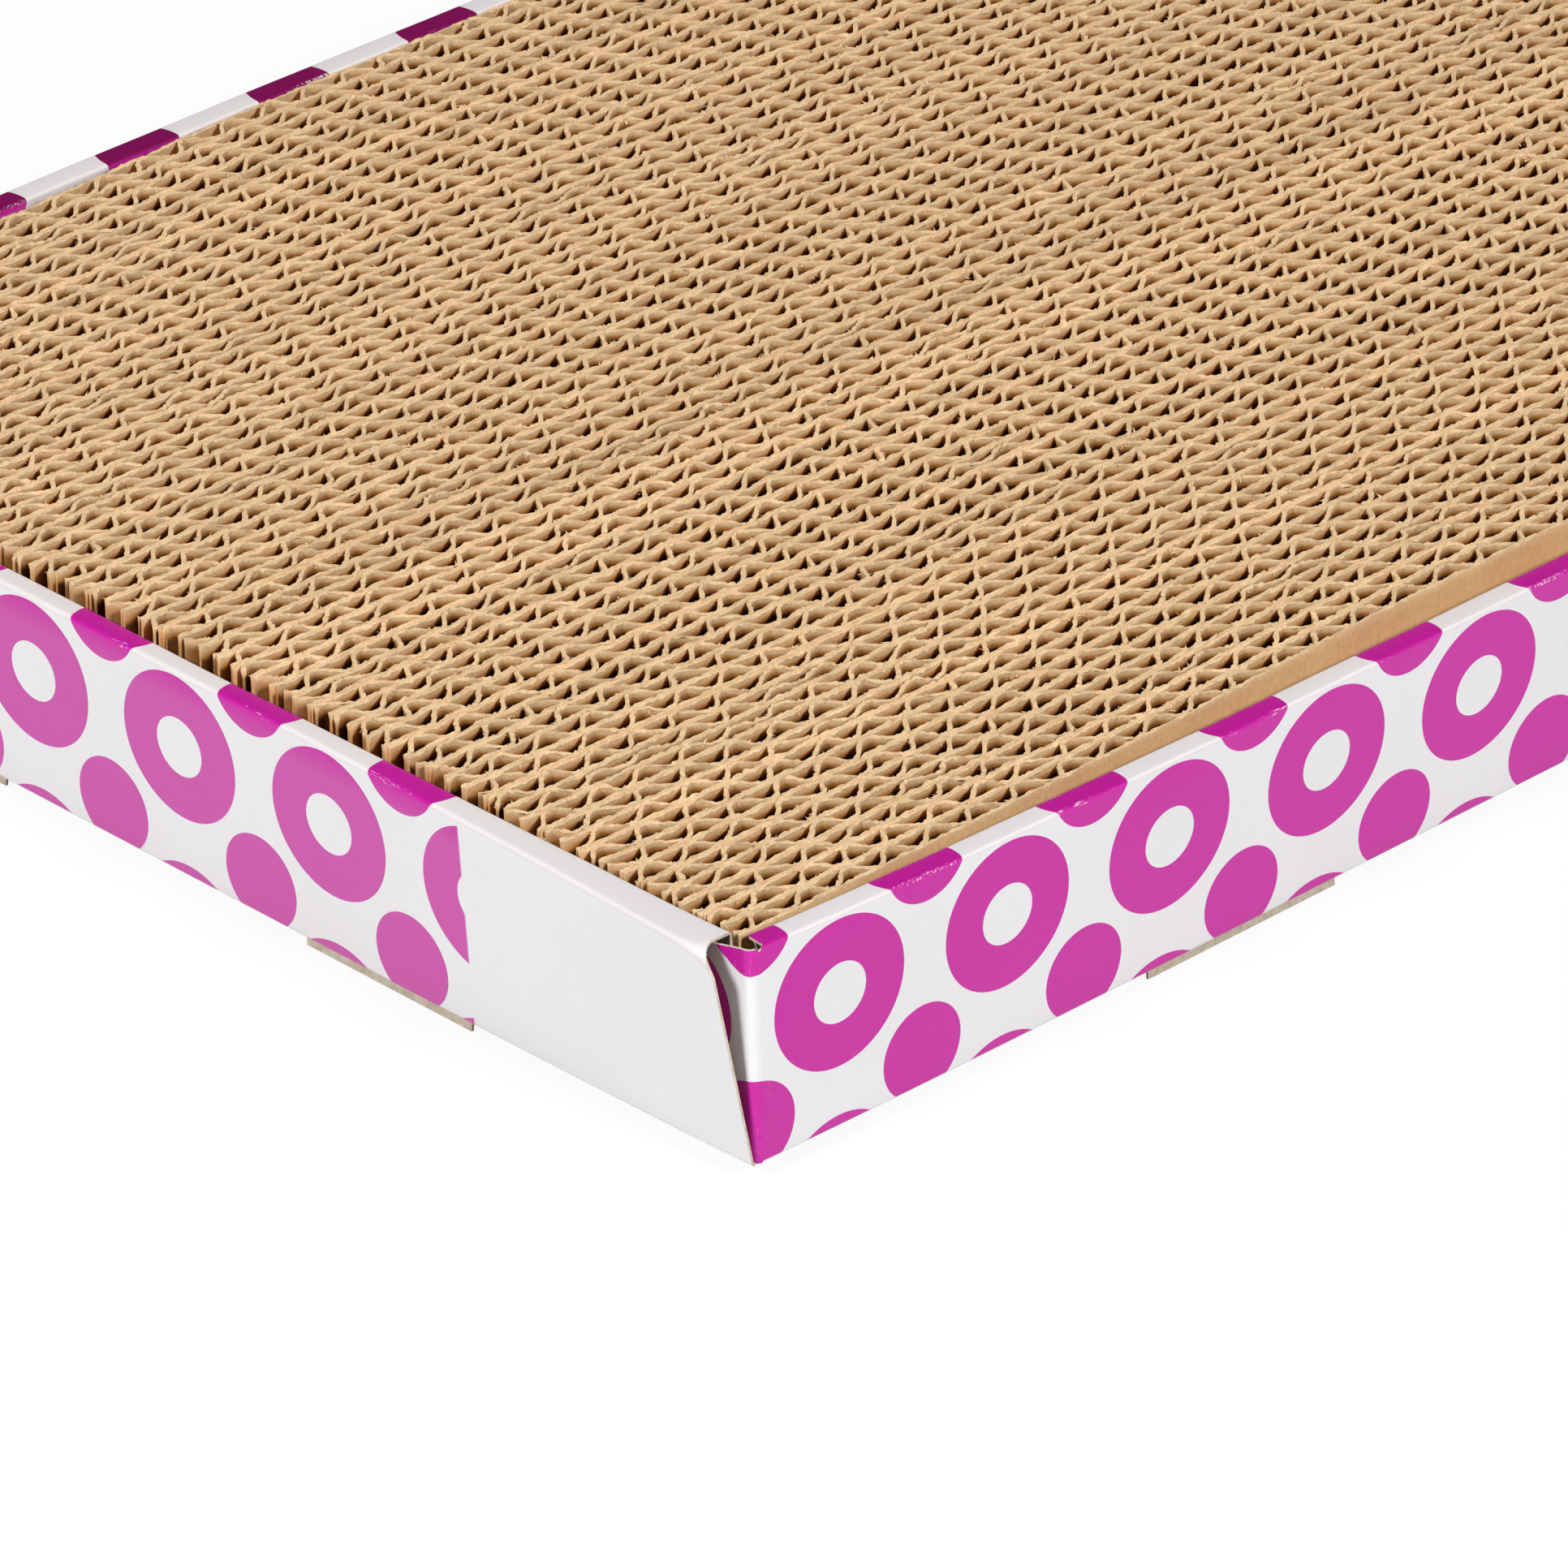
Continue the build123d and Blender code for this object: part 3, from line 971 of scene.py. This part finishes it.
def ribbon_faces(n):
    """Faces of a closed wall whose top edges have n columns, and whose two lower levels have
    one column for every few of them."""
    columns = (n - 1) // EDGE_SPLIT + 1
    counts = [columns, columns, n, columns, columns, n]
    ends = np.cumsum(counts)
    left_low, left_mid, left_top, right_low, right_mid, right_top = [
        np.arange(end - count, end) for end, count in zip(ends, counts)
    ]

    def band(a, b):
        return np.stack([a[:-1], a[1:], b[1:], b[:-1]], 1)

    def lip(mid, top):
        steps = [top[k : n - EDGE_SPLIT + k : EDGE_SPLIT] for k in range(EDGE_SPLIT)]
        return np.stack([mid[:-1], *steps, top[EDGE_SPLIT::EDGE_SPLIT], mid[1:]], 1)

    first, last = [
        np.array([
            (left_low[i], right_low[i], right_mid[i], left_mid[i]),
            (left_mid[i], right_mid[i], right_top[i], left_top[i]),
        ])
        for i in (0, -1)
    ]
    return [
        band(left_mid, left_low),
        band(right_low, right_mid),
        band(right_top, left_top),
        band(left_low, right_low),
        lip(left_mid, left_top),
        lip(right_mid, right_top)[:, ::-1],
        first,
        last[:, ::-1],
    ]


def flute_phases():
    """Where each strip's flutes start: strips of one cut lie in step for a while."""
    phase, phases = rng.uniform(), []
    while len(phases) < strip_count:
        step = rng.uniform()
        for _ in range(rng.integers(*STRIPS_IN_STEP)):
            phase += step + rng.normal(0, PHASE_PLAY_SHARE)
            phases.append(phase % 1)
    return phases


def flute_wave(phase):
    """Places along a strip and its medium's wave there, from -1 to 1: round waves of uneven
    pitch, lean and height, some of them crushed."""
    low, high = pad_low[0] - FLUTE_PITCH, pad_high[0] + FLUTE_PITCH
    count = math.ceil((high - low) / FLUTE_PITCH) + 1
    turns = np.arange(count * FLUTE_POINTS) / FLUTE_POINTS
    run = turns * FLUTE_PITCH
    x = low - phase * FLUTE_PITCH + run
    for drift in FLUTE_DRIFTS:
        x = x + wander(run, *drift)
    wave = np.tanh(FLUTE_ROUND * np.sin(2 * np.pi * turns)) / math.tanh(FLUTE_ROUND)
    lean = wander(run, *FLUTE_LEAN)
    crush = np.zeros_like(x)
    for _ in range(rng.poisson(CRUSHES_PER_STRIP)):
        centre, width = rng.uniform(low, high), rng.uniform(*CRUSH_WIDTHS)
        crush = np.maximum(crush, np.exp(-(((x - centre) / width) ** 2)))
    return x + lean * wave, wave * (1 - crush * rng.uniform(*CRUSH_SHARES))


def layer_lines(flutes):
    """Plan lines between the strips: a slow wander, and waves where the flutes press."""
    x = axis_points(2 * pad_low[0], 2 * pad_high[0], LINER_STEP)
    lines = []
    for k in range(strip_count + 1):
        y = sum(wander(x, *drift) for drift in LAYER_DRIFTS)
        for flute in flutes[max(k - 1, 0) : k + 1]:
            y += FLUTE_PRESS * np.interp(x, *flute)
        room = OUTER_LAYER_SHARE if k in (0, strip_count) else 1.0
        lines.append(pad_low[1] + k * strip_pitch + room * y)
    return x, lines


def strip_ribbons(ribbons, k, flute, x, lines):
    """Two liners and the medium of one strip."""
    ends = (
        pad_low[0] - STRIP_OVERRUN + rng.uniform(0, STRIP_END_PLAY),
        pad_high[0] + STRIP_OVERRUN - rng.uniform(0, STRIP_END_PLAY),
    )
    height = rng.normal(0, STRIP_HEIGHT_PLAY)
    tone = rng.uniform(*STRIP_TONE_SHARES)
    for line, sign in ((lines[k], 1), (lines[k + 1], -1)):
        low = ends[0] + rng.uniform(0, LINER_END_PLAY)
        high = ends[1] - rng.uniform(0, LINER_END_PLAY)
        span = axis_points(low, high, LINER_STEP)
        middle = np.interp(span, x, line) + sign * LINER / 2
        burrs = (BURR, 0) if sign > 0 else (0, BURR)
        plan = np.stack([span, middle], 1)
        shade = tone * rng.uniform(*PAPER_TONE_SHARES)
        ribbons.wall(plan, LINER / 2, burrs, height, shade, LINER_SIDE_PAINTED_LIGHT)
    inside = (flute[0] > ends[0]) & (flute[0] < ends[1])
    span, wave = flute[0][inside], flute[1][inside]
    lower, upper = np.interp(span, x, lines[k]), np.interp(span, x, lines[k + 1])
    room = (upper - lower - MEDIUM) / 2 - LINER
    plan = np.stack([span, (lower + upper) / 2 + room * wave], 1)
    shade = tone * rng.uniform(*PAPER_TONE_SHARES)
    ribbons.wall(plan, MEDIUM / 2, (BURR, BURR), height, shade, MEDIUM_SIDE_PAINTED_SHADE)


def pad_pieces():
    """The strips of the pad, a piece for every node."""
    flutes = [flute_wave(phase) for phase in flute_phases()]
    x, lines = layer_lines(flutes)
    for i, node in enumerate(strip_nodes):
        ribbons = Ribbons()
        for k in range(i * STRIPS_PER_NODE, (i + 1) * STRIPS_PER_NODE):
            strip_ribbons(ribbons, k, flutes[k], x, lines)
        obj = ribbons.build(f"corrugated_{node}")
        smooth(obj, SHARP_PAPER_ANGLE)
        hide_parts(node)
        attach(obj, "pad")


# Camera, floor and light
def add_camera():
    """Camera at its place, turned by its azimuth, elevation and roll."""
    a, e, roll = CAMERA_AZIMUTH, CAMERA_ELEVATION, CAMERA_ROLL
    right = np.array([math.cos(a), -math.sin(a), 0])
    ahead = np.array([math.sin(a) * math.cos(e), math.cos(a) * math.cos(e), -math.sin(e)])
    up = np.cross(right, ahead)
    x_axis = math.cos(roll) * right + math.sin(roll) * up
    y_axis = math.cos(roll) * up - math.sin(roll) * right
    data = bpy.data.cameras.new("camera")
    data.lens = CAMERA_LENS
    data.clip_start, data.clip_end = CAMERA_CLIP
    camera = bpy.data.objects.new("camera", data)
    matrix = np.eye(4)
    matrix[:3, :3] = np.stack([x_axis, y_axis, -ahead], 1)
    matrix[:3, 3] = CAMERA_PLACE
    camera.matrix_world = Matrix(matrix.tolist())
    bpy.context.scene.collection.objects.link(camera)
    bpy.context.scene.camera = camera


def floor_material():
    """Pale matt floor that the camera sees close to white, with the object's shadow."""
    g = Graph("floor")
    path = g.tree.nodes.new("ShaderNodeLightPath")
    seen = g.math("MAXIMUM", path.outputs["Is Camera Ray"], path.outputs["Is Glossy Ray"])
    seen = g.math("MAXIMUM", seen, path.outputs["Is Transmission Ray"])
    g.set(Base_Color=g.mix(seen, FLOOR_BOUNCE, FLOOR), Roughness=0.95, Specular_IOR_Level=0.1)
    glow = g.add("Emission", 0, (), {"Color": (1, 1, 1, 1), "Strength": 1.0})
    share = g.math("MULTIPLY", seen, FLOOR_GLOW_SHARE)
    mixed = g.add("MixShader", 0, (), {0: share, 1: g.shader.outputs[0], 2: glow})
    g.tree.links.new(mixed, g.tree.nodes["Material Output"].inputs["Surface"])
    return g.material


def add_floor():
    """Wide floor under the object."""
    far = FLOOR_REACH
    corners = [(-far, -far, 0), (far, -far, 0), (far, far, 0), (-far, far, 0)]
    floor = mesh_object("floor", corners, [(0, 1, 2, 3)], {}, (floor_material(),))


def add_light(name, place, size, watts):
    """Round soft box that faces the object."""
    data = bpy.data.lights.new(name, "AREA")
    data.shape = "DISK"
    data.size = size
    data.energy = watts
    light = bpy.data.objects.new(name, data)
    ahead = np.array(LIGHT_TARGET) - np.array(place)
    ahead /= np.linalg.norm(ahead)
    side = np.cross(ahead, (0, 0, 1))
    side /= np.linalg.norm(side)
    up = np.cross(side, ahead)
    matrix = np.eye(4)
    matrix[:3, :3] = np.stack([side, up, -ahead], 1)
    matrix[:3, 3] = place
    light.matrix_world = Matrix(matrix.tolist())
    bpy.context.scene.collection.objects.link(light)
    return light


def add_lights():
    """The soft boxes and a weak white surround."""
    for name, place in SOFT_BOXES.items():
        add_light(name, place, SOFT_BOX_SIZE, SOFT_BOX_WATTS)
    back_light = add_light("back_box", BACK_BOX, BACK_BOX_SIZE, BACK_BOX_WATTS)
    back_light.visible_glossy = False
    world = bpy.data.worlds.new("studio")
    world.use_nodes = True
    back = world.node_tree.nodes["Background"]
    back.inputs["Color"].default_value = (1, 1, 1, 1)
    back.inputs["Strength"].default_value = WORLD_LIGHT
    bpy.context.scene.world = world
    bpy.context.scene.view_settings.view_transform = "Standard"


for name in SIDES:
    side_piece(name)
base_piece()
pad_pieces()
add_camera()
add_floor()
add_lights()
